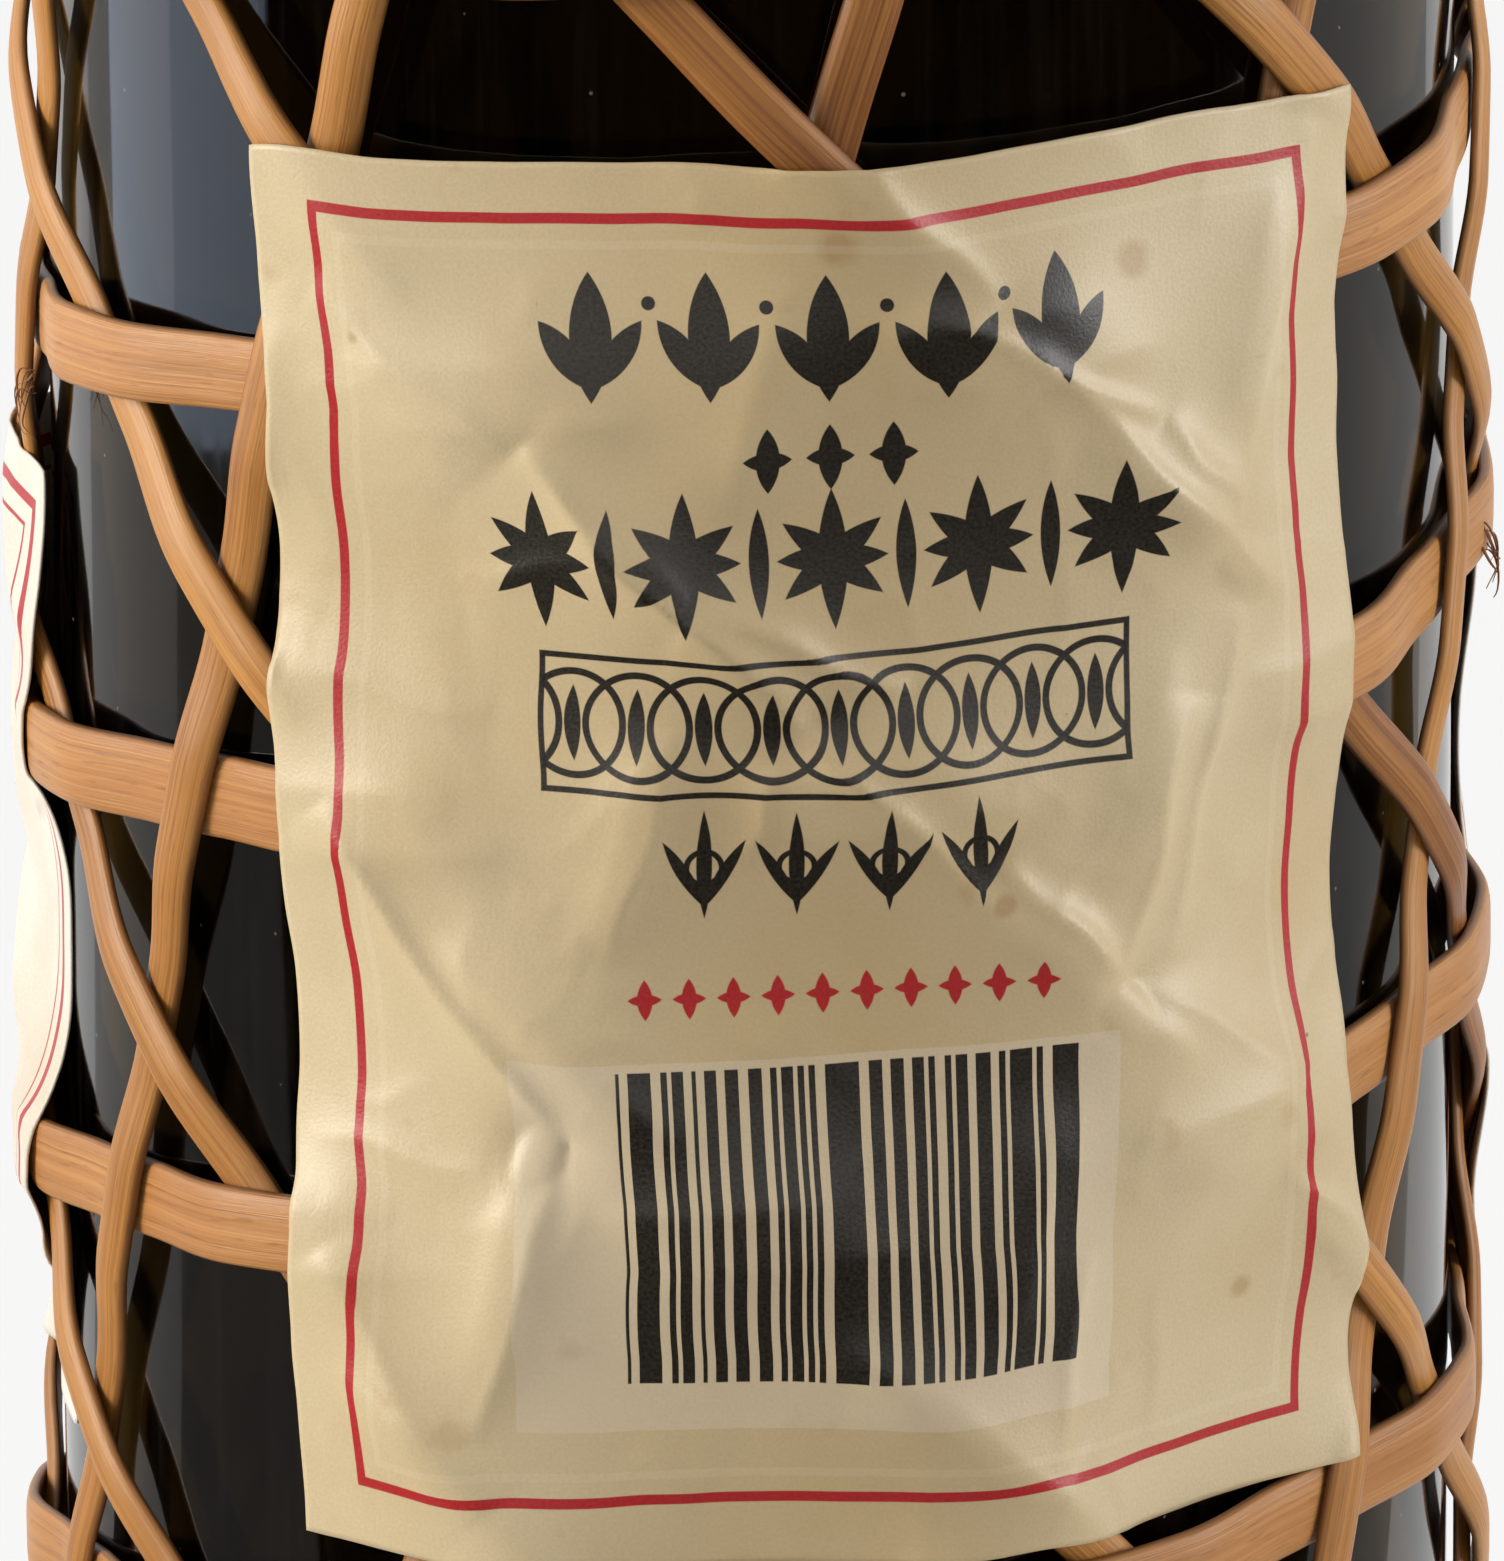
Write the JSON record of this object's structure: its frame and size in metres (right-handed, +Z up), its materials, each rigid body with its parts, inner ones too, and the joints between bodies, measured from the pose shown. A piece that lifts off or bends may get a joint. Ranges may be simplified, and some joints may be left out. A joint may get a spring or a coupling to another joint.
{
  "type": "wicker wine bottle",
  "caption": "Dark glass wine bottle in an open three-way cane weave, with a woven foot and collar, paper labels glued over the cane and a cork that draws out.",
  "frame": {"origin": "centre of the foot rim's flat underside, on the surface that the bottle stands on", "axes": "+Z up along the bottle's axis; -Y is the side with the back label, which the picture shows; +X to its right"},
  "size_m": [0.094, 0.094, 0.2683],
  "materials": {
    "glass": "polished",
    "cork": "matte",
    "round_cane": "satin",
    "flat_cane": "satin",
    "dark_cane": "satin",
    "paper": "matte"
  },
  "bodies": {
    "bottle": {"glass_bottle": "glass", "foot_rim": "dark_cane", "base_spokes": "dark_cane", "base_rings": "round_cane", "foot_row_1": "dark_cane", "foot_row_2": "dark_cane", "foot_row_3": "dark_cane", "left_strand_1": "round_cane", "left_strand_2": "round_cane", "left_strand_3": "round_cane", "left_strand_4": "round_cane", "left_strand_5": "round_cane", "left_strand_6": "round_cane", "left_strand_7": "round_cane", "left_strand_8": "round_cane", "right_strand_1": "round_cane", "right_strand_2": "round_cane", "right_strand_3": "round_cane", "right_strand_4": "round_cane", "right_strand_5": "round_cane", "right_strand_6": "round_cane", "right_strand_7": "round_cane", "right_strand_8": "round_cane", "right_strand_9": "round_cane", "spiral_band": "flat_cane", "collar_row_1": "dark_cane", "collar_row_2": "dark_cane", "collar_row_3": "dark_cane", "collar_row_4": "dark_cane", "collar_row_5": "dark_cane", "collar_row_6": "dark_cane", "collar_edge": "dark_cane", "back_label": "paper", "front_label": "paper"},
    "cork": {"cork": "cork"}
  },
  "joints": [
    {"name": "cork_draw", "type": "slide", "parent": "bottle", "child": "cork", "axis": [0, 0, 1], "range_m": [0, 0.05]}
  ]
}
